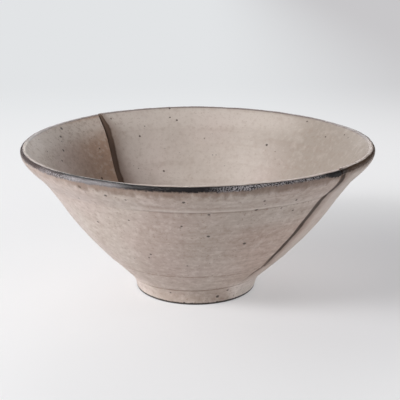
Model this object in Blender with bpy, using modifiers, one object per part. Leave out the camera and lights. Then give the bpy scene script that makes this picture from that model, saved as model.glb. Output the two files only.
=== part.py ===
"""A thrown stoneware bowl with a crack across it, in metres, +Z up.

The bowl is one solid of fired clay. It stands on a turned foot ring, its wall opens as a cone,
and a flared band under the rim ends in a rounded lip. The wall has split from the rim on two
opposite sides, and its halves have slipped past each other, so that each side of the bowl
shows a small step with a groove along it, which runs from the rim down to the thick clay
above the foot. The origin is on the rim's axis, at the height where the foot ring stands.
"""

import math

import bmesh
import bpy
from mathutils import Vector

# The bowl's overall sizes.
RIM_DIAMETER = 0.200
HEIGHT = 0.0878
FOOT_DIAMETER = 0.0704

# The wall. It is thinner at the top than where it rises from the floor.
WALL_AT_TOP = 0.0048
WALL_AT_BOTTOM = 0.0062
LOW_BEND = math.radians(7.3)
HIGH_BEND = math.radians(2.9)
LOW_PULL = 0.58
HIGH_PULL = 0.35

# A line that the turning tool left round the outside, above the neck.
TOOL_LINE_RISE = 0.0175
TOOL_LINE_WIDTH = 0.0012
TOOL_LINE_DEPTH = 0.0003

# The flared band under the rim, and the fine ridge along its lower edge.
LIP_THICKNESS = 0.0044
LIP_INNER_ANGLE = math.radians(135)
RIDGE_DROP = 0.0152
RIDGE_INSET = 0.0098
RIDGE_STAND = 0.0005
BAND_SIDE = 0.0035
BAND_SWEEP = 0.0055
BAND_LEAN = math.radians(43)

# The foot: a ring with a cove above it and a shallow recess inside it.
NECK_HEIGHT = 0.0120
NECK_STAND = 0.0060
FOOT_SIDE = 0.0042
FOOT_LEAN = math.radians(80)
COVE_PULL = 0.0050
COVE_STEP = 0.0003
FOOT_EDGE = 0.0006
FOOT_OFF_CENTRE = 0.0010
RING_WIDTH = 0.0062
RECESS_DEPTH = 0.0054
RECESS_SLOPE = 0.0014
RECESS_RISE = 0.0005
RECESS_BREAK = 0.6

# The floor inside.
BASE_THICKNESS = 0.0070
FLOOR_START = 0.16
FLOOR_PULL = 0.020
FLOOR_FLAT = 0.018

# The crack. Its two ends at the rim lie almost opposite each other, and each line curves
# round the bowl on its way down, drawn towards its pull. Angles run anticlockwise from +X.
CRACK_WIDTH = 0.0012
CRACK_DEPTH = 0.0012
CRACK_FADE = 0.010
CRACK_FOOT_Z = 0.017
FRONT_CRACK_AT_RIM = math.radians(-42)
FRONT_CRACK_PULL = math.radians(-49.5)
FRONT_CRACK_AT_FOOT = math.radians(-51.5)
BACK_CRACK_AT_RIM = math.radians(131.3)
BACK_CRACK_PULL = math.radians(133)
BACK_CRACK_AT_FOOT = math.radians(150)
SLIP = 0.0030
SLIP_AT_RIM = 0.15
SLIP_PEAK = 0.45
PROUD_REACH = math.radians(55)
SUNK_REACH = math.radians(34)

# A thrown rim is never quite round.
OUT_OF_ROUND = 0.0004

# The glaze.
GLAZE_COLOUR = (0.42, 0.35, 0.305, 1)
GLAZE_ROUGHNESS = 0.5

# How finely the curves are stepped. Two faces that meet at more than the sharp angle
# are shaded with an edge between them.
COLUMNS_PER_SIDE = 50
COLUMN_CROWDING = 0.5
FLOOR_STEPS = 7
WALL_STEPS = 9
BAND_STEPS = 5
LIP_STEPS = 6
FOOT_STEPS = 4
SHARP_ANGLE = math.radians(50)

# Points this close together are one point.
SAME_POINT = 0.00001


def heading(angle):
    """A unit step in the section plane, anticlockwise from straight outwards."""
    return Vector((math.cos(angle), math.sin(angle)))


def on_curve(start, start_pull, end_pull, end, t):
    """The point at share t of a curve that the pull at each end draws."""
    s = 1 - t
    point = start * s**3 + (start + start_pull) * 3 * s * s * t
    return point + (end + end_pull) * 3 * s * t * t + end * t**3


def curve(start, start_pull, end_pull, end, steps):
    """The points of such a curve after its start, evenly stepped."""
    return [on_curve(start, start_pull, end_pull, end, i / steps) for i in range(1, steps + 1)]


def arc(centre, radius, start, end, steps):
    """The points of an arc after its start."""
    turn = (end - start) / steps
    return [centre + heading(start + turn * step) * radius for step in range(1, steps + 1)]


def eased(share):
    """A smooth rise from 0 to 1."""
    share = min(1.0, max(0.0, share))
    return share * share * (3 - 2 * share)


def wall_ends():
    """The outer wall's lower and upper end, and its direction at each."""
    low = Vector((FOOT_DIAMETER / 2 + NECK_STAND, NECK_HEIGHT))
    high = Vector((RIM_DIAMETER / 2 - RIDGE_INSET, HEIGHT - RIDGE_DROP))
    chord = high - low
    rise = math.atan2(chord.y, chord.x)
    return low, high, rise - LOW_BEND, rise + HIGH_BEND


def wall_point(share):
    """The outer wall's surface at a share of the way from the neck up to the ridge."""
    low, high, low_angle, high_angle = wall_ends()
    length = (high - low).length
    low_pull = heading(low_angle) * length * LOW_PULL
    high_pull = heading(high_angle) * -length * HIGH_PULL
    return on_curve(low, low_pull, high_pull, high, share)


def outer_wall():
    """The outer wall from the neck up to the ridge, without its tool line."""
    return [wall_point(step / WALL_STEPS) for step in range(WALL_STEPS + 1)]


def lined_wall():
    """The outer wall from the neck up to the ridge, with the tool line cut into it.

    A point of the plain wall that the line would nearly touch gives way to it.
    """
    low = wall_point(0)
    points = []
    for point in outer_wall():
        rise = (point - low).length
        if abs(rise - TOOL_LINE_RISE) > TOOL_LINE_WIDTH:
            points.append(point)
    above = next(i for i, point in enumerate(points) if (point - low).length > TOOL_LINE_RISE)
    below = points[above - 1]
    along = (points[above] - below).normalized()
    middle = below + along * (TOOL_LINE_RISE - (below - low).length)
    inwards = Vector((-along.y, along.x))
    line = [
        middle - along * TOOL_LINE_WIDTH / 2,
        middle + inwards * TOOL_LINE_DEPTH,
        middle + along * TOOL_LINE_WIDTH / 2,
    ]
    return points[:above] + line + points[above:]


def inner_wall():
    """The inner wall, set in from the outer one by the wall's thickness, from the floor up."""
    outer = outer_wall()
    first = max(1, round(WALL_STEPS * FLOOR_START))
    inner = []
    for index in range(first, len(outer)):
        share = index / WALL_STEPS
        thickness = WALL_AT_BOTTOM + (WALL_AT_TOP - WALL_AT_BOTTOM) * share
        before = outer[index - 1]
        after = outer[min(index + 1, WALL_STEPS)]
        along = (after - before).normalized()
        inner.append(outer[index] + Vector((-along.y, along.x)) * thickness)
    return inner


def section():
    """The bowl's half section, from the middle of the floor over the lip to the underside."""
    rim = RIM_DIAMETER / 2
    foot = FOOT_DIAMETER / 2
    low, ridge, low_angle, high_angle = wall_ends()

    # Inside: the floor curves up into the wall, and the wall flares into the lip.
    wall = inner_wall()
    floor = Vector((0, RECESS_DEPTH + RECESS_RISE + BASE_THICKNESS))
    up = (wall[1] - wall[0]).normalized()
    points = [floor]
    points += curve(floor, Vector((FLOOR_FLAT, 0)), up * -FLOOR_PULL, wall[0], FLOOR_STEPS)
    points += wall[1:]
    lip = LIP_THICKNESS / 2
    lip_centre = Vector((rim - lip, HEIGHT - lip))
    lip_start = lip_centre + heading(LIP_INNER_ANGLE) * lip
    flare = (lip_start - wall[-1]).length / 3
    into_lip = heading(LIP_INNER_ANGLE - math.pi / 2) * -flare
    points += curve(wall[-1], heading(high_angle) * flare, into_lip, lip_start, BAND_STEPS)

    # The lip, then the band's outer side down to the ridge that it ends in.
    points += arc(lip_centre, lip, LIP_INNER_ANGLE, 0, LIP_STEPS)
    ridge_edge = ridge + heading(high_angle - math.pi / 2) * RIDGE_STAND
    band = heading(BAND_LEAN) * BAND_SWEEP
    points += curve(points[-1], Vector((0, -BAND_SIDE)), band, ridge_edge, BAND_STEPS)

    # The outer wall down to the neck, the cove and the foot's side.
    points += reversed(lined_wall())
    cove = low + heading(low_angle + math.pi / 2) * COVE_STEP
    foot_top = Vector((foot, FOOT_EDGE))
    side = heading(FOOT_LEAN) * FOOT_SIDE
    points.append(cove)
    points += curve(cove, heading(low_angle) * -COVE_PULL, side, foot_top, FOOT_STEPS)

    # The ring that the bowl stands on, and the recess inside it.
    inner = foot - RING_WIDTH
    points.append(Vector((foot - FOOT_EDGE, 0)))
    points.append(Vector((inner + FOOT_EDGE, 0)))
    points.append(Vector((inner, FOOT_EDGE)))
    edge = Vector((inner - RECESS_SLOPE, RECESS_DEPTH))
    middle = Vector((0, RECESS_DEPTH + RECESS_RISE))
    points.append(edge)
    points.append(edge.lerp(middle, 1 - RECESS_BREAK))
    points.append(middle)
    return points


def turned(name, points, columns):
    """The mesh that a half section sweeps out in one full turn, as on the wheel, facing out."""
    mesh = bpy.data.meshes.new(name)
    places = [(point.x, 0, point.y) for point in points]
    mesh.from_pydata(places, [(i, i + 1) for i in range(len(places) - 1)], [])
    blank = bpy.data.objects.new(name, mesh)
    bpy.context.scene.collection.objects.link(blank)
    screw = blank.modifiers.new("Turn", "SCREW")
    screw.axis = "Z"
    screw.angle = math.tau
    screw.steps = columns
    screw.render_steps = columns
    screw.use_merge_vertices = True
    screw.merge_threshold = SAME_POINT
    graph = bpy.context.evaluated_depsgraph_get()
    result = bpy.data.meshes.new_from_object(blank.evaluated_get(graph))
    bpy.data.objects.remove(blank)
    bpy.data.meshes.remove(mesh)
    clay = bmesh.new()
    clay.from_mesh(result)
    bmesh.ops.recalc_face_normals(clay, faces=clay.faces)
    clay.to_mesh(result)
    clay.free()
    return result


def bent(start, pull, end, share):
    """The value at a share of the way from start to end, drawn towards the pull."""
    rest = 1 - share
    return start * rest * rest + pull * 2 * rest * share + end * share * share


def crack_angles(z):
    """Where the crack's front and back lines stand at a height."""
    share = min(1.0, max(0.0, (z - CRACK_FOOT_Z) / (HEIGHT - CRACK_FOOT_Z)))
    front = bent(FRONT_CRACK_AT_FOOT, FRONT_CRACK_PULL, FRONT_CRACK_AT_RIM, share)
    back = bent(BACK_CRACK_AT_FOOT, BACK_CRACK_PULL, BACK_CRACK_AT_RIM, share)
    return front, back


def slip_at(z):
    """How far the two sides of the crack stand apart at a height: most near mid-height."""
    share = (z - CRACK_FOOT_Z) / (HEIGHT - CRACK_FOOT_Z)
    if share <= SLIP_PEAK:
        return SLIP * eased(share / SLIP_PEAK)
    below_rim = eased((1 - share) / (1 - SLIP_PEAK))
    return SLIP * (SLIP_AT_RIM + (1 - SLIP_AT_RIM) * below_rim)


def column_angle(column, start, end, edge):
    """Where a column stands between two lines of the crack.

    The first column stands on the starting line, in the bottom of the crack's groove. The
    others run from the groove's far edge to the near edge of the next one, and crowd
    towards both.
    """
    if column == 0:
        return start
    share = (column - 1) / (COLUMNS_PER_SIDE - 2)
    share -= COLUMN_CROWDING * math.sin(math.tau * share) / math.tau
    return start + edge + (end - start - 2 * edge) * share


def crack_open(mesh):
    """Moves the turned wall's columns to the crack's two lines and slips its sides apart.

    Half of the columns stand between the front line and the back one, and half between the
    back line and the front one. A groove into the clay runs along each line.
    """
    columns = 2 * COLUMNS_PER_SIDE
    edge = CRACK_WIDTH / RIM_DIAMETER
    normals = [vertex.normal.copy() for vertex in mesh.vertices]
    for vertex, normal in zip(mesh.vertices, normals):
        radius = math.hypot(vertex.co.x, vertex.co.y)
        if radius < SAME_POINT:
            continue
        z = vertex.co.z
        turn = math.atan2(vertex.co.y, vertex.co.x) % math.tau
        side, column = divmod(round(turn / math.tau * columns) % columns, COLUMNS_PER_SIDE)
        front, back = crack_angles(z)
        start, end = (front, back) if side == 0 else (back, front + math.tau)
        angle = column_angle(column, start, end, edge)
        if column == 0:
            depth = CRACK_DEPTH * eased((z - CRACK_FOOT_Z) / CRACK_FADE)
            radius -= depth * (normal.x * math.cos(turn) + normal.y * math.sin(turn))
            vertex.co.z -= depth * normal.z
        else:
            sunk = 1 - eased((angle - start - edge) / SUNK_REACH)
            proud = 1 - eased((end - edge - angle) / PROUD_REACH)
            radius += slip_at(z) / 2 * (proud - sunk)
        radius += OUT_OF_ROUND * math.cos(2 * angle) * eased((z - NECK_HEIGHT) / HEIGHT)
        vertex.co.x = radius * math.cos(angle)
        vertex.co.y = radius * math.sin(angle)


def set_foot_off_centre(mesh):
    """Shifts the foot a little to the left of the rim's axis, and the wall in proportion."""
    for vertex in mesh.vertices:
        vertex.co.x -= FOOT_OFF_CENTRE * (1 - vertex.co.z / HEIGHT)


def glaze():
    """A warm grey semi-matt glaze over stoneware."""
    material = bpy.data.materials.new("glazed_stoneware")
    material.use_nodes = True
    shader = material.node_tree.nodes["Principled BSDF"]
    shader.inputs["Base Color"].default_value = GLAZE_COLOUR
    shader.inputs["Roughness"].default_value = GLAZE_ROUGHNESS
    shader.inputs["Metallic"].default_value = 0
    material.diffuse_color = GLAZE_COLOUR
    return material


def make_bowl(collection):
    mesh = turned("bowl", section(), 2 * COLUMNS_PER_SIDE)
    mesh.name = "bowl"
    crack_open(mesh)
    set_foot_off_centre(mesh)
    mesh.shade_smooth()
    mesh.set_sharp_from_angle(angle=SHARP_ANGLE)
    mesh.materials.append(glaze())
    bowl = bpy.data.objects.new("bowl", mesh)
    collection.objects.link(bowl)
    return bowl


def main():
    for old in list(bpy.data.objects):
        bpy.data.objects.remove(old)
    collection = bpy.data.collections.new("cracked_bowl")
    bpy.context.scene.collection.children.link(collection)
    make_bowl(collection)


main()
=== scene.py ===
import math
from bisect import bisect_left

import bmesh
import bpy
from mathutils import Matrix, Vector, noise


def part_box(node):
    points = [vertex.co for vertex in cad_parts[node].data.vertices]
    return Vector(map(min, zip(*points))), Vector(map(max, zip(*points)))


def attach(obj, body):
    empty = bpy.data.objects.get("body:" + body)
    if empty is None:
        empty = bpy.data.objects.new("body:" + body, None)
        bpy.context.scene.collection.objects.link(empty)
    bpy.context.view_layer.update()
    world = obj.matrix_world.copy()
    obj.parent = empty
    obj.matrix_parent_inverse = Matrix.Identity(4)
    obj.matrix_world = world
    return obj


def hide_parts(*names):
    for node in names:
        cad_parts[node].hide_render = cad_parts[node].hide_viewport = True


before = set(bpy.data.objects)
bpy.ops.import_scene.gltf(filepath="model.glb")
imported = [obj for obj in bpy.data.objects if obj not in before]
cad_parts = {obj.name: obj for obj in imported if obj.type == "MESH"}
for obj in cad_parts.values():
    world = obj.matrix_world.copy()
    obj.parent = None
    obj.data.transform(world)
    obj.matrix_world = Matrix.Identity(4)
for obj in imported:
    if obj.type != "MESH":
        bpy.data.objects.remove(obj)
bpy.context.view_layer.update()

print("frame loaded")

# Lengths are in metres. Angles are in degrees, anticlockwise from +X, and the camera stands at -90.
bowl = {
    "rimRadius": 0.100,
    "height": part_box("bowl")[1].z,
    "footRadius": 0.0352,
    "wallAtTop": 0.0048,
    "wallAtBottom": 0.0062,
    "lowBend": 7.3,
    "highBend": 2.9,
    "lowPull": 0.58,
    "highPull": 0.35,
    "lipRadius": 0.0022,
    "lipInnerAngle": 135,
    "lipReach": 0.004,  # how far the lip runs down the outside from its crest
    "ridgeDrop": 0.0152,  # the flared band's depth below the rim
    "ridgeInset": 0.0098,
    "bandSide": 0.0035,
    "bandSweep": 0.0055,
    "bandLean": 43,
    "neckHeight": 0.0120,
    "neckStand": 0.0060,
    "covePull": 0.0050,
    "footSide": 0.0042,
    "footLean": 80,
    "footEdge": 0.0006,
    "footOffCentre": 0.0010,
    "ringWidth": 0.0062,
    "recessDepth": 0.0054,
    "recessSlope": 0.0014,
    "recessRise": 0.0005,
    "recessSide": 0.003,
    "recessSweep": 0.002,
    "baseThickness": 0.0070,
    "floorStart": 0.16,
    "floorPull": 0.020,
    "floorFlat": 0.018,
    "outOfRound": 0.0002,
}

# How finely it is made: the points along each stretch of its section, and the columns round it.
fineness = {
    "wall": 420,
    "everyInside": 9,
    "everyOutside": 11,
    "floor": 14,
    "intoLip": 20,
    "lip": 16,
    "band": 28,
    "foot": 90,
    "everyFoot": 5,
    "footEdge": 4,
    "ringInside": 8,
    "recess": 6,
    "columnsPerSide": 166,
    "columnCrowding": 0.9,  # how closely the columns stand towards the crack
    "middle": 0.00001,  # nearer the axis than this, a point stays where it is
    "weld": 0.000001,
}

# Lines that the fingers and the turning tool left round the outside, as
# (height, how far it stands out, its width, how dark the glaze lies in it, partly painted shade in a groove,
# and below 0 a painted highlight on a bead).
turnedLines = [
    (0.0772, 0.00008, 0.00060, -0.12),
    (0.0754, -0.00012, 0.00045, 0.22),
    (0.0730, 0.00036, 0.00080, -0.30),
    (0.0714, -0.00030, 0.00036, 0.42),
    (0.0247, 0.00014, 0.00060, -0.10),
    (0.0239, -0.00026, 0.00032, 0.62),
    (0.0112, 0.00012, 0.00050, -0.10),
    (0.0104, -0.00040, 0.00038, 1.10),
]
lineReach = 0.0011

# The upper lines fade round the left and towards the crack, over these cosines of the angle.
lineFade = {"above": 0.05, "amount": 0.70, "left": (-0.15, -0.47), "right": (0.50, 0.75)}

# How much higher those lines run on the right than in the middle, as (height, rise).
lineTilt = [(0.003, 0.0), (0.0104, 0.0019), (0.0240, 0.0012), (0.0715, 0.0008), (0.0860, 0.0)]
leastUpright = 0.3  # keeps the slide short where the surface lies nearly level

# How far the wall stands over to the right, as (height, distance).
wallLean = [(0.010, 0.0), (0.020, 0.0006), (0.050, 0.00065), (0.070, 0.0008), (0.078, 0.0007),
            (0.0878, 0.00035)]

# The rise and fall of the rim as it goes round, as (waves round it, size, phase).
rimWaves = [(0, 0.00041, -90), (1, 0.00029, 109), (2, 0.00056, -132), (3, 0.00017, 162)]
wavesFrom = 0.05  # they grow from this height up to the rim

# What the hand and the wheel left on the plain form, as (height, scale, seed) of each noise.
handMarks = {
    "swell": (0.00025, 22, (0, 0, 0)),
    "dimples": (0.00010, 70, (5, 2, 9)),
    "lipGrit": (0.00016, 260, (0, 0, 0)),
    "lipWaves": (0.00020, 110, (7, 7, 7)),
    "rimUneven": (0.00012, 4, (0, 0, 2)),
    "fineRings": (0.00009, 520, (0, 1.7, 0)),
    "wideRings": (0.00014, 210, (0, 4.2, 0)),
    "insideRings": (0.00006, 260, (0, 2.2, 0)),
    "fineTurn": 0.8,  # how fast each kind of ring changes as it goes round
    "wideTurn": 0.6,
    "insideTurn": 0.5,
    "spiralRise": 0.0012,
    "spiralFrom": 0.4,
    "strongAt": -68,
    "strongWidth": 0.5,
    "strength": (0.5, 0.9),  # of the rings: everywhere, and added where they are strong
    "lipMiddle": 0.0012,
    "lipWidth": 0.0030,
    "smoothFoot": 0.003,
    "smoothMiddle": 0.01,
}

# The crack's two lines are (height, angle) from the foot to the rim. On the side that stands
# back, a brown stain with painted shadow reaches as far as (height, reach) and the dark painted shade is
# (height, width).
crack = {
    "front": [(0.0125, -54.6), (0.019, -51.9), (0.0245, -49.6), (0.030, -50.3), (0.036, -50.5),
              (0.046, -49.6), (0.050, -48.8), (0.055, -48.1), (0.062, -46.9), (0.069, -46.1),
              (0.073, -44.8), (0.078, -44.0), (0.082, -43.8), (0.0878, -43.8)],
    "back": [(0.017, 148.0), (0.040, 140.3), (0.050, 137.4), (0.054, 136.7), (0.061, 135.4),
             (0.067, 133.9), (0.074, 132.7), (0.081, 132.0), (0.0878, 131.5)],
    "footHeight": 0.017,
    "fullHeight": 0.026,
    "wavers": [(0.12, 260, 3.1), (0.24, 90, 8.7)],  # each is (angle, scale, seed)
    "slip": 0.0030,
    "slipAtRim": 0.15,
    "slipPeak": 0.45,
    "proudReach": 55,
    "sunkReach": 34,
    "edgeRound": 0.0005,
    "grooveDepth": 0.0012,
    "grooveWidth": 0.0005,
    "farShade": -100.0,
    "proudStep": 0.001,  # the length of one step of shade on the proud side
    "nearFrom": 52,  # the degrees from it to where its marks start to fade
    "nearFade": 18,
    "reachInside": 0.70,  # a share of the slip
    "reachOutside": [(0.022, 0.0004), (0.029, 0.0021), (0.036, 0.0040), (0.044, 0.0054),
                     (0.0475, 0.0058), (0.056, 0.0055), (0.060, 0.0051), (0.0645, 0.0043),
                     (0.069, 0.0039), (0.073, 0.0032), (0.0775, 0.0023), (0.0815, 0.0016),
                     (0.0858, 0.0008), (0.0878, 0.0005)],
    "shadeOutside": [(0.017, 0.0014), (0.030, 0.0025), (0.045, 0.0032), (0.060, 0.0036),
                     (0.068, 0.0036), (0.072, 0.0036), (0.076, 0.0038), (0.080, 0.0038),
                     (0.0878, 0.0028)],
    "shadeInside": [(0.017, 0.0020), (0.044, 0.0048), (0.048, 0.0044), (0.055, 0.0035),
                    (0.065, 0.0037), (0.078, 0.0041), (0.081, 0.0040), (0.083, 0.0030),
                    (0.0865, 0.0020), (0.0878, 0.0012)],
}

# What each vertex carries for the glaze: its distance along the section from the lip's crest,
# its place across the crack, how near the crack is, and how dark a turned line is there.
surfaceLayers = ["fromCrest", "crackShade", "crackNear", "lineShade"]


def heading(degrees):
    return Vector((math.cos(math.radians(degrees)), math.sin(math.radians(degrees))))


def curvePoints(start, startPull, endPull, end, steps):
    points = []
    for step in range(1, steps + 1):
        t = step / steps
        s = 1 - t
        point = start * s**3 + (start + startPull) * 3 * s * s * t
        points.append(point + (end + endPull) * 3 * s * t * t + end * t**3)
    return points


def arcPoints(centre, radius, start, end, steps):
    turn = (end - start) / steps
    return [centre + heading(start + turn * step) * radius for step in range(1, steps + 1)]


def eased(share):
    share = min(1.0, max(0.0, share))
    return share * share * (3 - 2 * share)


def easedOver(value, limits):
    return eased((value - limits[0]) / (limits[1] - limits[0]))


def bump(offset, width):
    return math.exp(-(offset / width) ** 2)


def along(knots, place):
    # the value at a place on the line through the knots
    if place <= knots[0][0]:
        return knots[0][1]
    for (low, start), (high, end) in zip(knots, knots[1:]):
        if place <= high:
            return start + (end - start) * (place - low) / (high - low)
    return knots[-1][1]


def wallCurve(steps):
    low = Vector((bowl["footRadius"] + bowl["neckStand"], bowl["neckHeight"]))
    high = Vector((bowl["rimRadius"] - bowl["ridgeInset"], bowl["height"] - bowl["ridgeDrop"]))
    chord = high - low
    rise = math.degrees(math.atan2(chord.y, chord.x))
    lowAngle, highAngle = rise - bowl["lowBend"], rise + bowl["highBend"]
    lowPull = heading(lowAngle) * chord.length * bowl["lowPull"]
    highPull = heading(highAngle) * -chord.length * bowl["highPull"]
    points = [low] + curvePoints(low, lowPull, highPull, high, steps)
    return points, lowAngle, highAngle


def innerWall(outer):
    steps = len(outer) - 1
    inner = []
    for index in range(round(steps * bowl["floorStart"]), steps + 1):
        share = index / steps
        thickness = bowl["wallAtBottom"] + (bowl["wallAtTop"] - bowl["wallAtBottom"]) * share
        direction = (outer[min(index + 1, steps)] - outer[index - 1]).normalized()
        inner.append(outer[index] + Vector((-direction.y, direction.x)) * thickness)
    return inner


def onLine(point):
    return any(abs(point.y - line[0]) < lineReach for line in turnedLines)


def insideSection(outer, highAngle):
    # from the middle of the floor, up the inside and over the lip
    inner = innerWall(outer)[::fineness["everyInside"]]
    floor = Vector((0, bowl["recessDepth"] + bowl["recessRise"] + bowl["baseThickness"]))
    up = (inner[1] - inner[0]).normalized()
    flat = Vector((bowl["floorFlat"], 0))
    points = [floor]
    points += curvePoints(floor, flat, up * -bowl["floorPull"], inner[0], fineness["floor"])
    points += inner[1:]
    lip = bowl["lipRadius"]
    lipCentre = Vector((bowl["rimRadius"] - lip, bowl["height"] - lip))
    lipStart = lipCentre + heading(bowl["lipInnerAngle"]) * lip
    pull = (lipStart - inner[-1]).length / 3
    intoLip = heading(bowl["lipInnerAngle"] - 90) * -pull
    points += curvePoints(inner[-1], heading(highAngle) * pull, intoLip, lipStart, fineness["intoLip"])
    points += arcPoints(lipCentre, lip, bowl["lipInnerAngle"], 0, fineness["lip"])
    return points


def outsideSection(start, outer, lowAngle):
    # from the lip down to the foot, with the rows closer together where a turned line runs
    band = heading(bowl["bandLean"]) * bowl["bandSweep"]
    points = curvePoints(start, Vector((0, -bowl["bandSide"])), band, outer[-1], fineness["band"])
    every = fineness["everyOutside"]
    rows = range(len(outer) - 2, -1, -1)
    points += [outer[index] for index in rows if onLine(outer[index]) or index % every == 0]
    footTop = Vector((bowl["footRadius"], bowl["footEdge"]))
    side = heading(bowl["footLean"]) * bowl["footSide"]
    neck = heading(lowAngle) * -bowl["covePull"]
    lower = curvePoints(outer[0], neck, side, footTop, fineness["foot"])
    every = fineness["everyFoot"]
    points += [point for index, point in enumerate(lower) if onLine(point) or (index + 1) % every == 0]
    return points, footTop


def undersideSection(footTop):
    # over the ring that it stands on, and across the recess to the middle
    ring = bowl["footRadius"] - bowl["ringWidth"]
    edge = bowl["footEdge"]
    points = curvePoints(footTop, Vector((0, -edge / 2)), Vector((edge / 2, 0)),
                         footTop + Vector((-edge, -edge)), fineness["footEdge"])
    points += [Vector((ring + edge, 0)), Vector((ring + edge / 3, edge / 3)), Vector((ring, edge))]
    recess = Vector((ring - bowl["recessSlope"], bowl["recessDepth"]))
    middle = Vector((0, bowl["recessDepth"] + bowl["recessRise"]))
    side, sweep = Vector((0, bowl["recessSide"])), Vector((bowl["recessSweep"], 0))
    points += curvePoints(points[-1], side, sweep, recess, fineness["ringInside"])
    steps = fineness["recess"]
    points += [recess.lerp(middle, step / steps) for step in range(1, steps + 1)]
    return points


def halfSection():
    # the whole section, with the places in it of the lip's crest and of the foot's lower end
    outer, lowAngle, highAngle = wallCurve(fineness["wall"])
    points = insideSection(outer, highAngle)
    crest = max(range(len(points)), key=lambda index: points[index].y)
    outside, footTop = outsideSection(points[-1], outer, lowAngle)
    points += outside
    footEnd = len(points) + fineness["footEdge"] - 1
    return points + undersideSection(footTop), crest, footEnd


def runsAlong(points, crest):
    # each point's distance along the section from the lip's crest, negative on the inside
    runs = [0.0] * len(points)
    for index in range(crest + 1, len(points)):
        runs[index] = runs[index - 1] + (points[index] - points[index - 1]).length
    for index in range(crest - 1, -1, -1):
        runs[index] = runs[index + 1] - (points[index + 1] - points[index]).length
    return runs


def outwards(points):
    # the direction out of the clay at each point
    facing = []
    for index in range(len(points)):
        direction = points[min(index + 1, len(points) - 1)] - points[max(index - 1, 0)]
        facing.append(Vector((-direction.y, direction.x)).normalized())
    return facing


def onProfile(profile, run):
    runs = profile["runs"]
    index = min(len(runs) - 1, max(1, bisect_left(runs, run)))
    share = (run - runs[index - 1]) / (runs[index] - runs[index - 1])
    share = min(1.0, max(0.0, share))
    place = profile["points"][index - 1].lerp(profile["points"][index], share)
    return place, profile["facing"][index - 1].lerp(profile["facing"][index], share)


def crackAngles(z):
    waver = sum(size * noise.noise(Vector((z * scale, seed, 0))) for size, scale, seed in crack["wavers"])
    front, back = along(crack["front"], z), along(crack["back"], z)
    return math.radians(front + waver), math.radians(back - waver)


def slipAt(z):
    share = (z - crack["footHeight"]) / (bowl["height"] - crack["footHeight"])
    if share <= crack["slipPeak"]:
        return crack["slip"] * eased(share / crack["slipPeak"])
    belowRim = eased((1 - share) / (1 - crack["slipPeak"]))
    return crack["slip"] * (crack["slipAtRim"] + (1 - crack["slipAtRim"]) * belowRim)


def roundedEdge(distance):
    share = min(1.0, distance / crack["edgeRound"])
    return math.sqrt(1 - (1 - share) ** 2)


def crackShade(signed, z, outside):
    # 0 on the crack, 1 where the reach of the stain and its painted shadow ends and 2 where the dark shade
    # ends
    if signed < 0:
        return signed / crack["proudStep"]
    reach = along(crack["reachOutside"], z) if outside else slipAt(z) * crack["reachInside"]
    width = along(crack["shadeOutside"] if outside else crack["shadeInside"], z)
    return signed / reach if signed < reach else 1 + (signed - reach) / width


def lineStrength(angle, lineHeight):
    if lineHeight < lineFade["above"]:
        return 1.0
    aside = math.cos(angle)
    return 1 - lineFade["amount"] * (easedOver(aside, lineFade["left"]) + easedOver(aside, lineFade["right"]))


def handMark(name, place):
    size, scale, seed = handMarks[name]
    return size * noise.noise(place * scale + Vector(seed))


def ringMark(name, height, turned):
    size, scale, seed = handMarks[name]
    return size * noise.noise(Vector((height * scale, seed[1], turned)))


def surfaceRelief(angle, r, z, run, lineHeight):
    # what the hand and the tool left on the plain form, measured along its normal
    place = Vector((r * math.cos(angle), r * math.sin(angle), z))
    relief = handMark("swell", place) + handMark("dimples", place)
    if run > bowl["lipReach"]:
        for height, stand, width, _ in turnedLines:
            relief += stand * lineStrength(angle, height) * bump(lineHeight - height, width)
        spiral = z + handMarks["spiralRise"] * math.cos(angle + handMarks["spiralFrom"])
        strong = bump(angle - math.radians(handMarks["strongAt"]), handMarks["strongWidth"])
        everywhere, added = handMarks["strength"]
        rings = ringMark("fineRings", spiral, angle * handMarks["fineTurn"])
        rings += ringMark("wideRings", spiral, angle * handMarks["wideTurn"])
        relief += (everywhere + added * strong) * rings
    else:
        relief += ringMark("insideRings", z, angle * handMarks["insideTurn"])
    lipZone = bump(run - handMarks["lipMiddle"], handMarks["lipWidth"])
    relief += lipZone * (handMark("lipGrit", place) + handMark("lipWaves", place))
    return relief * eased(z / handMarks["smoothFoot"]) if run > 0 else relief


def rimWave(angle, z):
    # the rim's edge isn't quite level
    wave = sum(size * math.sin(count * angle + math.radians(phase)) for count, size, phase in rimWaves)
    wave += handMark("rimUneven", Vector((math.cos(angle), math.sin(angle), 0)))
    return wave * easedOver(z, (wavesFrom, bowl["height"]))


def throwBowl():
    points, crest, footEnd = halfSection()
    runs = runsAlong(points, crest)
    profile = {"points": points, "runs": runs, "facing": outwards(points)}
    bm = bmesh.new()
    layers = {name: bm.verts.layers.float.new(name) for name in surfaceLayers}
    verts = [bm.verts.new((point.x, 0, point.y)) for point in points]
    for vert, run in zip(verts, runs):
        vert[layers["fromCrest"]] = run
    edges = [bm.edges.new(pair) for pair in zip(verts, verts[1:])]
    columns = 2 * fineness["columnsPerSide"]
    bmesh.ops.spin(bm, geom=verts + edges, cent=(0, 0, 0), axis=(0, 0, 1), dvec=(0, 0, 0),
                   angle=math.tau, steps=columns, use_merge=True)
    bmesh.ops.remove_doubles(bm, verts=bm.verts, dist=fineness["weld"])
    bmesh.ops.recalc_face_normals(bm, faces=bm.faces)
    for vert in bm.verts:
        shapeVert(vert, layers, profile, columns)
    for vert in bm.verts:
        vert.co.x -= bowl["footOffCentre"] * (1 - vert.co.z / bowl["height"])
    return bm, runs[footEnd]


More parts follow.
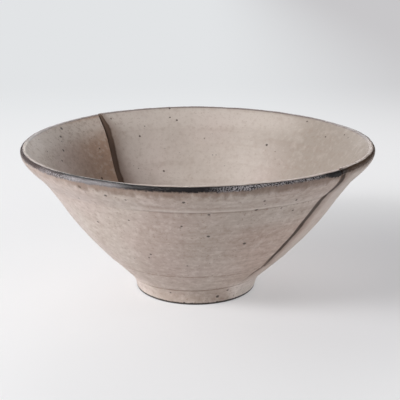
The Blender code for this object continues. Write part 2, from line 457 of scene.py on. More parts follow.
def columnAngle(vert, columns):
    # the columns run along the crack's two lines and stand closest together there
    perSide = fineness["columnsPerSide"]
    turn = math.atan2(vert.co.y, vert.co.x) % math.tau
    side, column = divmod(round(turn / math.tau * columns) % columns, perSide)
    front, back = crackAngles(vert.co.z)
    start, end = (front, back) if side == 0 else (back, front + math.tau)
    share = column / perSide
    share -= fineness["columnCrowding"] * math.sin(math.tau * share) / math.tau
    return start + (end - start) * share, start, end


def crackSlip(past, left, r, z):
    # one side stands proud and the other is sunk
    proud = 1 - eased(left / math.radians(crack["proudReach"]))
    sunk = 1 - eased(past / math.radians(crack["sunkReach"]))
    return slipAt(z) / 2 * (proud * roundedEdge(left * r) - sunk * roundedEdge(past * r))


def crackGroove(distance, z):
    inCrack = easedOver(z, (crack["footHeight"], crack["fullHeight"]))
    return inCrack * crack["grooveDepth"] * bump(distance, crack["grooveWidth"])


def shapeVert(vert, layers, profile, columns):
    height = vert.co.z
    run = vert[layers["fromCrest"]]
    vert[layers["crackShade"]] = crack["farShade"]
    if math.hypot(vert.co.x, vert.co.y) < fineness["middle"]:
        return
    angle, start, end = columnAngle(vert, columns)

    # on the outside the row slides along the wall, so that the turned lines run at their tilt
    place, facing = onProfile(profile, run)
    if run > bowl["lipReach"]:
        rise = along(lineTilt, height) * math.cos(angle)
        place, facing = onProfile(profile, run - rise / max(leastUpright, facing.x))
        for lineHeight, _, width, dark in turnedLines:
            dark *= lineStrength(angle, lineHeight)
            vert[layers["lineShade"]] += dark * bump(height - lineHeight, width)
    r, z = place

    past, left = angle - start, end - angle
    relief = surfaceRelief(angle if angle < math.pi else angle - math.tau, r, z, run, height)
    relief -= crackGroove(min(past, left) * r, z)
    relief *= min(1.0, r / handMarks["smoothMiddle"])
    signed = past * r if past < left else -left * r
    vert[layers["crackShade"]] = crackShade(signed if run > 0 else -signed, z, run > 0)
    away = math.degrees(min(past, left)) - crack["nearFrom"]
    vert[layers["crackNear"]] = 1 - eased(away / crack["nearFade"])

    oval = bowl["outOfRound"] * math.cos(2 * angle)
    shift = crackSlip(past, left, r, z) + oval * eased((z - bowl["neckHeight"]) / bowl["height"])
    shift += along(wallLean, z) * math.cos(angle)
    r += shift + facing.x * relief
    vert.co = (r * math.cos(angle), r * math.sin(angle), z + rimWave(angle, z) + facing.y * relief)


def tint(red, green, blue):
    # a colour as it shows on screen, from 0 to 255, as the shader wants it
    linear = []
    for channel in (red, green, blue):
        c = channel / 255
        linear.append(c / 12.92 if c <= 0.04045 else ((c + 0.055) / 1.055) ** 2.4)
    return (*linear, 1)


def addNode(tree, kind, inputs=None, **settings):
    made = tree.nodes.new(kind)
    for key, value in settings.items():
        setattr(made, key, value)
    for key, value in (inputs or {}).items():
        if isinstance(value, bpy.types.NodeSocket):
            tree.links.new(value, made.inputs[key])
        else:
            made.inputs[key].default_value = value
    return made


def maths(tree, operation, a, b):
    return addNode(tree, "ShaderNodeMath", {0: a, 1: b}, operation=operation).outputs[0]


def product(tree, *factors):
    result = factors[0]
    for factor in factors[1:]:
        result = maths(tree, "MULTIPLY", result, factor)
    return result


def total(tree, *parts):
    result = parts[0]
    for part in parts[1:]:
        result = maths(tree, "ADD", result, part)
    return result


def rest(tree, share):
    return maths(tree, "SUBTRACT", 1.0, share)


def between(tree, value, low, high, toLow=0.0, toHigh=1.0):
    # a soft step, from toLow where the value is low to toHigh where it is high
    spread = {"Value": value, "From Min": low, "From Max": high, "To Min": toLow, "To Max": toHigh}
    return addNode(tree, "ShaderNodeMapRange", spread, interpolation_type="SMOOTHSTEP").outputs[0]


def zone(tree, value, limits, amount=1.0):
    # a soft-edged zone, whose limits say where it starts, is full, is still full and ends
    starts, full, stillFull, ends = limits
    return product(tree, between(tree, value, starts, full), between(tree, value, ends, stillFull), amount)


def mixColours(tree, amount, a, b):
    return addNode(tree, "ShaderNodeMix", {0: amount, 6: a, 7: b}, data_type="RGBA").outputs[2]


def noiseOn(tree, coords, scale, detail=2.0, roughness=0.5, stretch=None):
    if stretch:
        coords = addNode(tree, "ShaderNodeMapping", {"Vector": coords, "Scale": stretch}).outputs[0]
    inputs = {"Vector": coords, "Scale": scale, "Detail": detail, "Roughness": roughness}
    return addNode(tree, "ShaderNodeTexNoise", inputs).outputs["Fac"]


# The glaze's colours, as they show on screen, and the colours of its painted light and painted shade.
glaze = {
    "inside": (197, 184, 178),
    "outside": (189, 173, 164),
    "pink": (198, 178, 170),
    "green": (186, 178, 165),
    "moss": (163, 152, 142),
    "warmShade": (172, 134, 106),
    "warm": (195, 160, 145),
    "cloud": (154, 133, 120),
    "pale": (214, 203, 195),
    "footEndLight": (236, 226, 219),
    "line": (128, 104, 88),
    "speck": (58, 44, 36),
    "rim": (26, 22, 23),
    "rimGlint": (170, 164, 166),
    "rimBack": (112, 98, 96),
    "rimBreak": (112, 88, 72),
    "rimBrown": (86, 69, 58),
    "stainAndShadow": (108, 89, 78),
    "deepStainAndShadow": (62, 43, 32),
    "softStainAndShade": (138, 116, 103),
    "footLineAndShadow": (38, 33, 30),
    "bareClay": (156, 132, 110),
}

# Where the glaze drifts. Two numbers are where a change starts and is full, and two more are its
# values there. A zone's four are where it starts, is full, is still full and ends. X runs to the
# right, Y away from the camera and Z up, and a shade is a place across the crack.
drift = {
    "patchScale": 16,
    "patchEdge": (0.38, 0.62),
    "patchAmount": 0.35,
    "mossX": (0.025, 0.070, 0, 0.90),
    "offFloorZ": (0.014, 0.045),
    "warmShadeZone": (-55.0, -3.0, -0.05, 0.05),
    "warmShadeAmount": 0.70,
    "warmX": (0.0, 0.035, 0, 0.40),
    "warmZ": (0.066, 0.054),
    "lipZone": (-0.022, -0.008, -0.004, -0.001),
    "lipAmount": 0.6,
    "lipX": (-0.05, -0.08, 1.0, 1.4),
    "lipSkew": 0.6,
    "lipBack": (0.005, 0.045),
    "beyondZone": (2.8, 5.5, 8.0, 14.0),
    "beyondAmount": 0.45,
    "frontShadeMiddleZ": 0.037,
    "frontShadeCurve": 6.4,
    "frontShadeX": (-0.0355, -0.0285),
    "frontShadeAmount": (-0.030, 0.030, 0.30, 0.08),
    "frontShadeY": (0.0, -0.01),
    "footEndLightRightX": (0.014, 0.023),
    "footEndLightLeftX": (-0.018, -0.030, 0, 0.25),
    "footEndLightZ": (0.016, 0.010),
    "calmZone": (-0.060, -0.040, 0.085, 0.110),
    "calmAmount": 0.55,
    "brushedX": (-0.02, 0.04, 0.10, 0.40),
}

# The mottle in it. Each kind is a noise, as (scale, detail, roughness, stretch), and the ranges
# of it that darken and pale the glaze.
mottle = {
    "clouds": {"noise": (90, 4.0, 0.6), "dark": (0.50, 0.75, 0, 0.28), "pale": (0.46, 0.28, 0, 0.20)},
    "streaks": {"noise": (130, 3.0, 0.6, (0.10, 0.10, 1.6)), "dark": (0.52, 0.75, 0, 0.40)},
    "brushed": {"noise": (130, 2.0, 0.6, (0.14, 0.14, 5.0)), "dark": (0.48, 0.68),
                "pale": (0.46, 0.30, 0, 0.6)},
    "grains": {"noise": (330, 3.0, 0.6), "dark": (0.50, 0.70, 0, 0.45), "pale": (0.48, 0.34, 0, 0.35)},
    "dots": {"noise": (800, 2.0, 0.5), "dark": (0.58, 0.74, 0, 0.75)},
}


def lay(tree, under, amount, name):
    # one of the glaze's colours laid over what is there
    return mixColours(tree, amount, under, tint(*glaze[name]))


# The distances from the lip's crest where the inside and the outside are fully themselves.
fullFrom = {"inside": -0.002, "outside": 0.001}


def surfaceReadings(tree):
    # what the material reads from the surface
    coords = addNode(tree, "ShaderNodeTexCoord").outputs["Object"]
    split = addNode(tree, "ShaderNodeSeparateXYZ", {0: coords}).outputs
    seen = {"coords": coords, "across": split["X"], "depth": split["Y"], "height": split["Z"]}
    for name in surfaceLayers:
        seen[name] = addNode(tree, "ShaderNodeAttribute", attribute_name=name).outputs["Fac"]
    seen["inside"] = between(tree, seen["fromCrest"], 0.0, fullFrom["inside"])
    seen["outside"] = rest(tree, seen["inside"])
    seen["pastCrest"] = between(tree, seen["fromCrest"], 0.0, fullFrom["outside"])
    return seen


def driftingColour(tree, seen):
    # the glaze drifts between pink and green, and is warmer or darker in places; painted shade and painted
    # light are laid over it where marked
    across, depth, height, shade = seen["across"], seen["depth"], seen["height"], seen["crackShade"]
    inside, outside = seen["inside"], seen["outside"]
    colour = lay(tree, tint(*glaze["outside"]), inside, "inside")
    patches = between(tree, noiseOn(tree, seen["coords"], drift["patchScale"]), *drift["patchEdge"])
    drifted = lay(tree, tint(*glaze["pink"]), patches, "green")
    colour = mixColours(tree, drift["patchAmount"], colour, drifted)
    colour = lay(tree, colour, product(tree, inside, between(tree, across, *drift["mossX"])), "moss")
    onWall = product(tree, inside, seen["crackNear"], between(tree, height, *drift["offFloorZ"]))
    # painted shade: warm and dark on the inside, on the crack's proud side, where the wall gets only light
    # bounced round the bowl
    warmShade = product(tree, onWall, zone(tree, shade, drift["warmShadeZone"], drift["warmShadeAmount"]))
    colour = lay(tree, colour, warmShade, "warmShade")
    warm = between(tree, height, *drift["warmZ"])
    warm = product(tree, outside, between(tree, across, *drift["warmX"]), warm)
    colour = lay(tree, colour, warm, "warm")
    # painted light: a soft paler band on the inside just under the lip, towards the left and the back
    lipLight = zone(tree, seen["fromCrest"], drift["lipZone"], drift["lipAmount"])
    leftBack = maths(tree, "SUBTRACT", depth, product(tree, across, drift["lipSkew"]))
    leftBack = between(tree, leftBack, *drift["lipBack"])
    lipLight = product(tree, lipLight, leftBack, between(tree, across, *drift["lipX"]))
    colour = lay(tree, colour, lipLight, "pale")
    # painted light: the inside is paler a little way past the crack, on the side that stands back
    beyond = product(tree, onWall, zone(tree, shade, drift["beyondZone"], drift["beyondAmount"]))
    colour = lay(tree, colour, beyond, "pale")

    # painted shade: the outside front is darker past a soft curved edge at the left front, most strongly near
    # the edge
    fromMiddle = maths(tree, "SUBTRACT", height, drift["frontShadeMiddleZ"])
    edge = maths(tree, "SUBTRACT", across, product(tree, fromMiddle, fromMiddle, drift["frontShadeCurve"]))
    frontShade = product(tree, between(tree, edge, *drift["frontShadeX"]), between(tree, edge, *drift["frontShadeAmount"]))
    frontShade = product(tree, frontShade, outside, between(tree, depth, *drift["frontShadeY"]))
    colour = lay(tree, colour, frontShade, "cloud")
    # painted light: the outside is paler low down towards the foot's right end, and a little towards its left
    # end
    ends = total(tree, between(tree, across, *drift["footEndLightRightX"]),
                 between(tree, across, *drift["footEndLightLeftX"]))
    footEndLight = product(tree, outside, between(tree, height, *drift["footEndLightZ"]), ends)
    return lay(tree, colour, footEndLight, "footEndLight")


def mottledColour(tree, seen, colour):
    # the mottle is calmer on the inside, and the brushed kind lies only on the outside
    calm = product(tree, seen["inside"], zone(tree, seen["across"], drift["calmZone"], drift["calmAmount"]))
    plain = rest(tree, calm)
    brushing = product(tree, seen["outside"], between(tree, seen["across"], *drift["brushedX"]))
    for name, marks in mottle.items():
        value = noiseOn(tree, seen["coords"], *marks["noise"])
        strength = brushing if name == "brushed" else plain
        colour = lay(tree, colour, product(tree, strength, between(tree, value, *marks["dark"])), "cloud")
        if name == "clouds":
            clouds = value
            colour = lay(tree, colour, between(tree, value, *marks["pale"]), "pale")
        elif "pale" in marks:
            colour = lay(tree, colour, product(tree, strength, between(tree, value, *marks["pale"])), "pale")
    return colour, clouds


lineLook = {
    "brokenScale": 150,
    "broken": (0.30, 0.60, 0.45, 1.0),
    "dark": (0.0, 1.0),
    "paleEdge": (0.0, -0.5, 0, 0.8),
}


def linedColour(tree, seen, colour):
    # glaze is thick and dark in a turned line, and thin and pale along its edge; the dark is partly painted
    # shade in the groove and the pale partly a painted highlight on the bead
    lines = seen["lineShade"]
    broken = between(tree, noiseOn(tree, seen["coords"], lineLook["brokenScale"]), *lineLook["broken"])
    colour = lay(tree, colour, product(tree, between(tree, lines, *lineLook["dark"]), broken), "line")
    return lay(tree, colour, between(tree, lines, *lineLook["paleEdge"]), "pale")


# Iron specks that burnt through the glaze, as (angle, height in mm, radius in mm).
specksInside = [
    (153.4, 84.5, 0.90), (156.6, 81.2, 0.75), (158.2, 78.5, 0.35), (161.0, 74.5, 0.75), (167.0, 70.0, 0.60),
    (173.1, 78.1, 0.55), (139.6, 69.5, 0.50), (148.0, 53.9, 0.80), (126.9, 84.4, 0.45), (116.3, 72.7, 0.60),
    (101.2, 81.9, 0.45), (98.7, 80.1, 0.60), (108.0, 50.8, 0.65), (55.9, 68.3, 0.75), (42.0, 84.6, 0.45),
    (27.9, 79.2, 0.45), (18.3, 83.2, 0.45), (14.3, 83.0, 0.40), (101.2, 87.4, 0.60),
]
specksOutside = [
    (-126.0, 82.3, 0.95), (-117.4, 79.6, 0.80), (-110.2, 78.5, 0.45), (-93.8, 78.8, 0.70),
    (-130.8, 58.6, 0.60), (-113.2, 63.8, 0.45), (-95.1, 62.5, 0.50), (-110.4, 41.2, 0.60),
    (-112.6, 37.6, 0.50), (-95.1, 33.9, 0.45), (-113.5, 7.5, 0.50), (-86.2, 69.6, 0.60),
    (-86.1, 56.4, 0.75), (-71.2, 49.7, 0.80), (-71.1, 71.9, 0.85), (-70.3, 78.0, 0.55),
    (-58.8, 75.3, 0.55), (-62.4, 71.0, 0.40), (-57.1, 68.1, 0.50), (-71.5, 5.0, 0.85),
    (-63.4, 8.4, 0.60), (-101.4, 1.3, 0.55), (-94.4, 1.0, 0.40), (-72.0, 1.2, 0.45),
    (12.0, 66.0, 0.70), (34.0, 44.0, 0.60), (58.0, 74.0, 0.75), (83.0, 52.0, 0.65),
    (96.0, 30.0, 0.55), (112.0, 69.0, 0.80), (149.0, 57.0, 0.60), (168.0, 77.0, 0.65),
    (188.0, 48.0, 0.70), (203.0, 70.0, 0.60), (-12.0, 35.0, 0.60),
]
speckLook = {
    "raggedScale": 900,
    "raggedBy": 0.0006,
    "edge": (-0.00020, 0.00030, 1.0, 0.0),
    "amount": 0.9,
    "fineScale": 260,
    "fineSpread": 120,
    "fineSize": (0.58, 0.72, 0.0, 0.17),
    "fineAmount": 0.5,
}


def farness(place, aim, height):
    # a place on the opposite side counts as a metre off
    across = place.x * aim.y - place.y * aim.x
    behind = 1.0 if place.x * aim.x + place.y * aim.y < 0 else 0.0
    return across * across + (place.z - height) ** 2 + behind


def speckPlaces(bm, footRun):
    # each speck's place on the surface, found from its angle and height
    crestLayer = bm.verts.layers.float["fromCrest"]
    outer = [vert for vert in bm.verts if 0 < vert[crestLayer] < footRun]
    inner = [vert for vert in bm.verts if vert[crestLayer] <= 0]
    found = []
    for verts, specks in ((inner, specksInside), (outer, specksOutside)):
        for angle, height, radius in specks:
            best = min(verts, key=lambda vert: farness(vert.co, heading(angle), height / 1000))
            found.append((best.co.copy(), radius / 1000))
    return found


def speckMask(tree, coords, specks):
    scale = {"Vector": coords, "Scale": speckLook["raggedScale"], "Detail": 2.0}
    ragged = addNode(tree, "ShaderNodeTexNoise", scale).outputs["Color"]
    centred = addNode(tree, "ShaderNodeVectorMath", {0: ragged, 1: (0.5, 0.5, 0.5)}, operation="SUBTRACT")
    amount = {0: centred.outputs[0], 3: speckLook["raggedBy"]}
    wobble = addNode(tree, "ShaderNodeVectorMath", amount, operation="SCALE").outputs[0]
    place = addNode(tree, "ShaderNodeVectorMath", {0: coords, 1: wobble}, operation="ADD").outputs[0]
    nearest = None
    for spot, radius in specks:
        gap = addNode(tree, "ShaderNodeVectorMath", {0: place, 1: spot}, operation="DISTANCE")
        gap = maths(tree, "SUBTRACT", gap.outputs["Value"], radius)
        nearest = gap if nearest is None else maths(tree, "MINIMUM", nearest, gap)
    return between(tree, nearest, *speckLook["edge"])


def speckledColour(tree, seen, colour, specks):
    # fine specks at random, and the larger ones at their own places
    coords = seen["coords"]
    cells = {"Vector": coords, "Scale": speckLook["fineScale"]}
    fine = addNode(tree, "ShaderNodeTexVoronoi", cells).outputs["Distance"]
    spread = noiseOn(tree, coords, speckLook["fineSpread"], 1.0)
    fine = maths(tree, "LESS_THAN", fine, between(tree, spread, *speckLook["fineSize"]))
    colour = lay(tree, colour, product(tree, fine, speckLook["fineAmount"]), "speck")
    large = speckMask(tree, coords, specks)
    return lay(tree, colour, product(tree, large, speckLook["amount"]), "speck"), large


# The rim's dark iron. Its band starts and ends at distances from the crest that change with X.
rim = {
    "runs": (260, 3.0, 0.6, (1, 1, 0.22)),
    "ragged": (700, 3.0, 0.6),
    "startX": [(-0.046, -0.018, 0, 0.0012), (0.073, 0.081, 0, -0.0002), (-0.060, -0.080, 0, 0.0006)],
    "startSoft": (-0.0003, 0.0004),
    "streakLength": 0.0096,
    "streakFade": (0.0, 0.0045, 0.70, 0.0),
    "streaksX": (-0.085, -0.055, 0.5, 1.0),
    "edgeX": (-0.088, -0.066, 0.00192, 0.0024),
    "thickZone": (0.066, 0.070, 0.0715, 0.0765),
    "thickBy": 0.0004,
    "thinZone": (0.022, 0.034, 0.0630, 0.0670),
    "thinBy": -0.0011,
    "edgeWithStart": 0.45,
    "raggedBy": 0.0026,
    "edgeSoft": (-0.0006, 0.0006, 1.0, 0.0),
    "brownX": (0.072, 0.079),
    "brownY": (0.02, -0.01),
    "farLeftX": (-0.060, -0.080, 0, 0.55),
    # painted glints and a painted sheen on the dark iron
    "glintNoise": (1500, 2.0, 0.6),
    "glintEdge": (0.42, 0.58),
    "glintRun": (0.0010, 0.0022),
    "glintRightZone": (0.002, 0.020, 0.056, 0.066),
    "glintRight": 0.90,
    "glintLeftZone": (-0.084, -0.076, -0.064, -0.052),
    "glintLeft": 0.65,
    "sheenRun": (0.0008, 0.0018),
    "sheenZone": (-0.070, -0.060, -0.042, -0.030),
    "paintedSheen": 0.42,
    "crestZone": (-0.0020, -0.0011, 0.0015, 0.0030),
    "backY": (-0.010, 0.010, 0, 0.9),
}


def rimColour(tree, seen):
    across, run = seen["across"], seen["fromCrest"]
    brown = product(tree, between(tree, across, *rim["brownX"]), between(tree, seen["depth"], *rim["brownY"]))
    colour = lay(tree, tint(*glaze["rim"]), brown, "rimBrown")
    colour = lay(tree, colour, between(tree, across, *rim["farLeftX"]), "rimBack")
    # painted glints: pale grains on the iron towards the right and the left, and a painted sheen, a
    # reflection, between the left ones and the middle
    pale = total(tree, zone(tree, across, rim["glintRightZone"], rim["glintRight"]),
                 zone(tree, across, rim["glintLeftZone"], rim["glintLeft"]))
    glintNoise = between(tree, noiseOn(tree, seen["coords"], *rim["glintNoise"]), *rim["glintEdge"])
    pale = product(tree, pale, glintNoise, between(tree, run, *rim["glintRun"]))
    colour = lay(tree, colour, pale, "rimGlint")
    paintedSheen = zone(tree, across, rim["sheenZone"], rim["paintedSheen"])
    paintedSheen = product(tree, paintedSheen, between(tree, run, *rim["sheenRun"]))
    return lay(tree, colour, paintedSheen, "rimGlint")


def rimmedColour(tree, seen, colour, ragged):
    # near-black iron on the edge, breaking to brown streaks that run down outside
    across, run = seen["across"], seen["fromCrest"]
    start = total(tree, *(between(tree, across, *reach) for reach in rim["startX"]))
    started = between(tree, maths(tree, "SUBTRACT", run, start), *rim["startSoft"])
    runs = product(tree, noiseOn(tree, seen["coords"], *rim["runs"]), rim["streakLength"])
    streaks = between(tree, maths(tree, "SUBTRACT", run, runs), *rim["streakFade"])
    streaks = product(tree, streaks, started, between(tree, across, *rim["streaksX"]))
    colour = lay(tree, colour, streaks, "rimBreak")
    edge = total(tree, between(tree, across, *rim["edgeX"]),
                 zone(tree, across, rim["thickZone"], rim["thickBy"]),
                 zone(tree, across, rim["thinZone"], rim["thinBy"]),
                 product(tree, start, rim["edgeWithStart"]), product(tree, ragged, rim["raggedBy"]))
    dark = between(tree, maths(tree, "SUBTRACT", run, edge), *rim["edgeSoft"])
    dark = product(tree, dark, started)
    colour = mixColours(tree, dark, colour, rimColour(tree, seen))
    atBack = product(tree, between(tree, seen["depth"], *rim["backY"]), zone(tree, run, rim["crestZone"]))
    return lay(tree, colour, atBack, "rimBack"), dark


# The crack's iron stain and painted shadow, over the shade that crackShade gives.
stainAndShadow = {
    "fadeZ": (0.008, 0.034),
    "scale": 220,
    "wander": (0.3, 0.7, -0.07, 0.07),
    "behind": (-0.30, -0.05),
    "paleZone": (2.6, 4.5, 14.0, 28.0),
    "paleAmount": 0.45,
    "paleRun": (0.0045, 0.0080),
    "paleX": (0.0, 0.01),
    "offRim": 0.9,
    "soft": (1.8, 4.4, 0.60, 0.0),
    "core": (1.75, 2.10, 1.0, 0.0),
    "faintZone": (0.10, 0.25, 0.78, 0.92),
    "faintAmount": 0.25,
    "deep": (0.15, 0.60, 1.0, 0.0),
    "deepEnd": (1.4, 1.8, 0, 0.35),
    "deepOutside": (0.78, 0.92),
}


def stainedAndShadedColour(tree, seen, colour, dark):
    # an iron stain with painted shadow: darkest along the step, then brown with a soft painted shade across
    # the side that stands back
    shade, near = seen["crackShade"], seen["crackNear"]
    wander = noiseOn(tree, seen["coords"], stainAndShadow["scale"])
    wander = total(tree, shade, between(tree, wander, *stainAndShadow["wander"]))
    # painted light: a paler strip outside, past the crack's dark edge on the right, where the sunk wall
    # catches light
    pale = product(tree, zone(tree, shade, stainAndShadow["paleZone"], stainAndShadow["paleAmount"]), near)
    pale = product(tree, pale, between(tree, seen["fromCrest"], *stainAndShadow["paleRun"]))
    colour = lay(tree, colour, product(tree, pale, between(tree, seen["across"], *stainAndShadow["paleX"])), "pale")
    behind = product(tree, between(tree, shade, *stainAndShadow["behind"]), near)
    behind = product(tree, behind, between(tree, seen["height"], *stainAndShadow["fadeZ"]))
    behind = product(tree, behind, rest(tree, product(tree, dark, stainAndShadow["offRim"])))
    colour = lay(tree, colour, product(tree, between(tree, wander, *stainAndShadow["soft"]), behind), "softStainAndShade")
    # outside, the stain and its painted shadow are a little fainter between the crack and its dark edge
    faint = product(tree, seen["pastCrest"], zone(tree, shade, stainAndShadow["faintZone"], stainAndShadow["faintAmount"]))
    core = product(tree, between(tree, wander, *stainAndShadow["core"]), behind, rest(tree, faint))
    deep = total(tree, between(tree, shade, *stainAndShadow["deep"]), between(tree, wander, *stainAndShadow["deepEnd"]))
    deepEdge = product(tree, seen["pastCrest"], between(tree, shade, *stainAndShadow["deepOutside"]))
    deep = maths(tree, "MAXIMUM", deep, deepEdge)
    return mixColours(tree, core, colour, lay(tree, tint(*glaze["stainAndShadow"]), deep, "deepStainAndShadow")), core


foot = {
    "lineZ": (0.00075, 0.00105, 0.95, 0),
    "raggedBy": -0.0008,
    "bareSoft": 0.0004,
}


def footedColour(tree, seen, colour, ragged, footRun):
    # a thin dark line where the glaze ends, darkened as painted contact shadow under the foot, and bare clay
    # on the ring that it stands on
    lowest = total(tree, seen["height"], product(tree, ragged, foot["raggedBy"]))
    line = product(tree, between(tree, lowest, *foot["lineZ"]), seen["pastCrest"])
    colour = lay(tree, colour, line, "footLineAndShadow")
    ringEnd, soft = footRun + bowl["ringWidth"], foot["bareSoft"]
    bare = zone(tree, seen["fromCrest"], (footRun, footRun + soft, ringEnd - soft, ringEnd))
    return lay(tree, colour, bare, "bareClay"), bare


# Its gloss: how rough it is and how strongly it mirrors, with the rim's share added along X.
gloss = {
    "plain": (0.3, 0.7, 0.36, 0.46),
    "rimX": (-0.02, 0.03, -0.14, 0.20),
    "rimRightX": (0.066, 0.078, 0.0, -0.36),
    "bareClay": 0.35,
    "mirror": 0.5,
    "dullX": (-0.04, -0.01, 0.10, 0.30),
    "dullRightX": (0.066, 0.078, 0.0, 0.17),
    "dullStainAndShadow": 0.30,
}


def addGloss(tree, shader, seen, clouds, dark, bare, core):
    across = seen["across"]
    rimRough = total(tree, between(tree, across, *gloss["rimX"]), between(tree, across, *gloss["rimRightX"]))
    rough = total(tree, between(tree, clouds, *gloss["plain"]), product(tree, dark, rimRough),
                  product(tree, bare, gloss["bareClay"]))
    tree.links.new(rough, shader.inputs["Roughness"])
    dull = total(tree, between(tree, across, *gloss["dullX"]), between(tree, across, *gloss["dullRightX"]))
    dull = maths(tree, "MAXIMUM", product(tree, dark, dull), product(tree, core, gloss["dullStainAndShadow"]))
    mirror = maths(tree, "SUBTRACT", gloss["mirror"], dull)
    tree.links.new(mirror, shader.inputs["Specular IOR Level"])


# Its fine relief: orange peel in the glaze, grit on the rim and a pit at each speck.
fineRelief = {
    "peel": (900, 3.0, 0.6),
    "peelHeight": 0.00004,
    "grit": (1300, 3.0, 0.7),
    "gritHeight": 0.00035,
    "pitDepth": -0.00006,
}


def addFineRelief(tree, shader, seen, dark, large):
    peel = product(tree, noiseOn(tree, seen["coords"], *fineRelief["peel"]), fineRelief["peelHeight"])
    grit = product(tree, noiseOn(tree, seen["coords"], *fineRelief["grit"]), dark, fineRelief["gritHeight"])
    relief = total(tree, peel, grit, product(tree, large, fineRelief["pitDepth"]))
    surface = addNode(tree, "ShaderNodeBump", {"Height": relief, "Strength": 1.0, "Distance": 1.0})
    tree.links.new(surface.outputs[0], shader.inputs["Normal"])


def makeGlaze(specks, footRun):
    material = bpy.data.materials.new("stonewareGlaze")
    material.use_nodes = True
    tree = material.node_tree
    shader = tree.nodes["Principled BSDF"]
    seen = surfaceReadings(tree)
    ragged = noiseOn(tree, seen["coords"], *rim["ragged"])
    colour, clouds = mottledColour(tree, seen, driftingColour(tree, seen))
    colour = linedColour(tree, seen, colour)
    colour, large = speckledColour(tree, seen, colour, specks)
    colour, dark = rimmedColour(tree, seen, colour, ragged)
    colour, core = stainedAndShadedColour(tree, seen, colour, dark)
    colour, bare = footedColour(tree, seen, colour, ragged, footRun)
    tree.links.new(colour, shader.inputs["Base Color"])
    addGloss(tree, shader, seen, clouds, dark, bare, core)
    addFineRelief(tree, shader, seen, dark, large)
    return material


def makeBowl():
    bm, footRun = throwBowl()
    specks = speckPlaces(bm, footRun)
    mesh = bpy.data.meshes.new("thrownBowl")
    bm.to_mesh(mesh)
    bm.free()
    mesh.shade_smooth()
    piece = bpy.data.objects.new("thrownBowl", mesh)
    bpy.context.scene.collection.objects.link(piece)
    mesh.materials.append(makeGlaze(specks, footRun))
    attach(piece, "root")
    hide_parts("bowl")
    return piece


piece = makeBowl()
print("bowl made,", len(piece.data.polygons), "faces")

studio = {
    "floor": (240, 240, 242),
    "floorReach": 3.0,
    "floorRoughness": 0.9,
    # painted light and shade on the paper for the camera: a pool of light at the near left, a shadow at the
    # near right and a dimmer far right
    "litNearLeft": (247, 247, 248),
    "shadowNearRight": (204, 203, 206),
    "shadowNearRightX": (-0.10, 0.20),
    "shadowNearRightZone": (-0.15, -0.06, 0.05, 0.20),
    "farLeft": (226, 228, 230),
    "dimFarRight": (200, 199, 201),
    "dimFarRightX": (0.0, 0.42),
    "farY": (0.05, 0.75),
    "glowY": (-0.05, 0.6, 0.38, 1.0),
    "world": 0.12,
    "aimHeight": 0.04,
    # each lamp is (azimuth, elevation, distance, size, power)
    "lamps": {
        "window": (210, 32, 1.2, 0.35, 13.5),
        "backCard": (90, 35, 1.1, 0.70, 4.2),
        "frontFill": (315, 35, 1.1, 0.70, 1.5),
        "rightCard": (10, 5, 1.2, 0.35, 5.0),
    },
}


def makePaper():
    material = bpy.data.materials.new("paper")
    material.use_nodes = True
    tree = material.node_tree
    shader = tree.nodes["Principled BSDF"]
    shader.inputs["Base Color"].default_value = tint(*studio["floor"])
    shader.inputs["Roughness"].default_value = studio["floorRoughness"]
    # the camera sees the paper pass into a glowing backdrop further off; near the bowl the glow is painted
    # light that lightens the paper's shadow, and its colours paint a pool of light at the near left, a shadow
    # at the near right and a dimmer far right
    coords = addNode(tree, "ShaderNodeTexCoord").outputs["Object"]
    split = addNode(tree, "ShaderNodeSeparateXYZ", {0: coords}).outputs
    across, depth = split["X"], split["Y"]
    shadowNearRight = between(tree, across, *studio["shadowNearRightX"])
    shadowNearRight = product(tree, shadowNearRight, zone(tree, depth, studio["shadowNearRightZone"]))
    near = mixColours(tree, shadowNearRight, tint(*studio["litNearLeft"]), tint(*studio["shadowNearRight"]))
    dimFarRight = between(tree, across, *studio["dimFarRightX"])
    far = mixColours(tree, dimFarRight, tint(*studio["farLeft"]), tint(*studio["dimFarRight"]))
    backdrop = mixColours(tree, between(tree, depth, *studio["farY"]), near, far)
    glow = addNode(tree, "ShaderNodeEmission", {"Color": backdrop, "Strength": 1.0})
    amount = between(tree, depth, *studio["glowY"])
    seen = addNode(tree, "ShaderNodeLightPath").outputs["Is Camera Ray"]
    mixed = {0: product(tree, amount, seen), 1: shader.outputs[0], 2: glow.outputs[0]}
    both = addNode(tree, "ShaderNodeMixShader", mixed)
    tree.links.new(both.outputs[0], tree.nodes["Material Output"].inputs["Surface"])
    return material


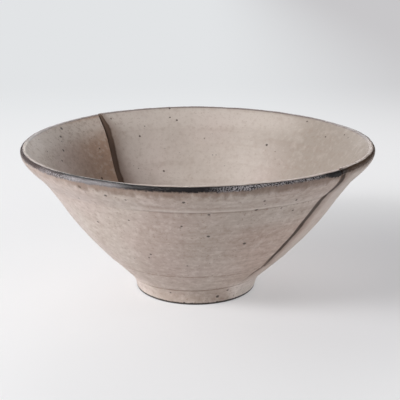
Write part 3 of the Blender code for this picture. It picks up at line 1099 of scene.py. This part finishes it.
def makeFloor():
    bm = bmesh.new()
    bmesh.ops.create_grid(bm, x_segments=1, y_segments=1, size=studio["floorReach"])
    mesh = bpy.data.meshes.new("floor")
    bm.to_mesh(mesh)
    bm.free()
    floor = bpy.data.objects.new("floor", mesh)
    bpy.context.scene.collection.objects.link(floor)
    mesh.materials.append(makePaper())


def makeLights():
    for name, (azimuth, elevation, distance, size, power) in studio["lamps"].items():
        lamp = bpy.data.lights.new(name, "AREA")
        lamp.shape = "SQUARE"
        lamp.size = size
        lamp.energy = power
        light = bpy.data.objects.new(name, lamp)
        level, up = heading(elevation)
        flat = heading(azimuth) * level
        light.location = Vector((flat.x, flat.y, up)) * distance
        aim = Vector((0, 0, studio["aimHeight"])) - light.location
        light.rotation_euler = aim.to_track_quat("-Z", "Y").to_euler()
        bpy.context.scene.collection.objects.link(light)


def makeRoom():
    # the room gives a little light from all round, and the camera sees it as pale as the paper
    world = bpy.data.worlds.new("daylight")
    world.use_nodes = True
    tree = world.node_tree
    room = tree.nodes["Background"]
    room.inputs["Color"].default_value = (1, 1, 1, 1)
    room.inputs["Strength"].default_value = studio["world"]
    wall = addNode(tree, "ShaderNodeBackground", {"Color": tint(*studio["farLeft"]), "Strength": 1.0})
    seen = addNode(tree, "ShaderNodeLightPath").outputs["Is Camera Ray"]
    both = addNode(tree, "ShaderNodeMixShader", {0: seen, 1: room.outputs[0], 2: wall.outputs[0]})
    tree.links.new(both.outputs[0], tree.nodes["World Output"].inputs["Surface"])
    bpy.context.scene.world = world


camera = {
    "distance": 0.500,
    "height": 0.2024,
    "pitch": 16.822,
    "yaw": -0.186,
    "lens": 80.43,
    "sensor": 36,
    "clipStart": 0.01,
}


def makeCamera():
    data = bpy.data.cameras.new("camera")
    data.sensor_width = camera["sensor"]
    data.lens = camera["lens"]
    data.clip_start = camera["clipStart"]
    view = bpy.data.objects.new("camera", data)
    view.location = (0, -camera["distance"], camera["height"])
    view.rotation_euler = (math.radians(90 - camera["pitch"]), 0, math.radians(camera["yaw"]))
    bpy.context.scene.collection.objects.link(view)
    bpy.context.scene.camera = view


makeFloor()
makeLights()
makeRoom()
makeCamera()
bpy.context.scene.view_settings.view_transform = "Standard"
print("studio ready")
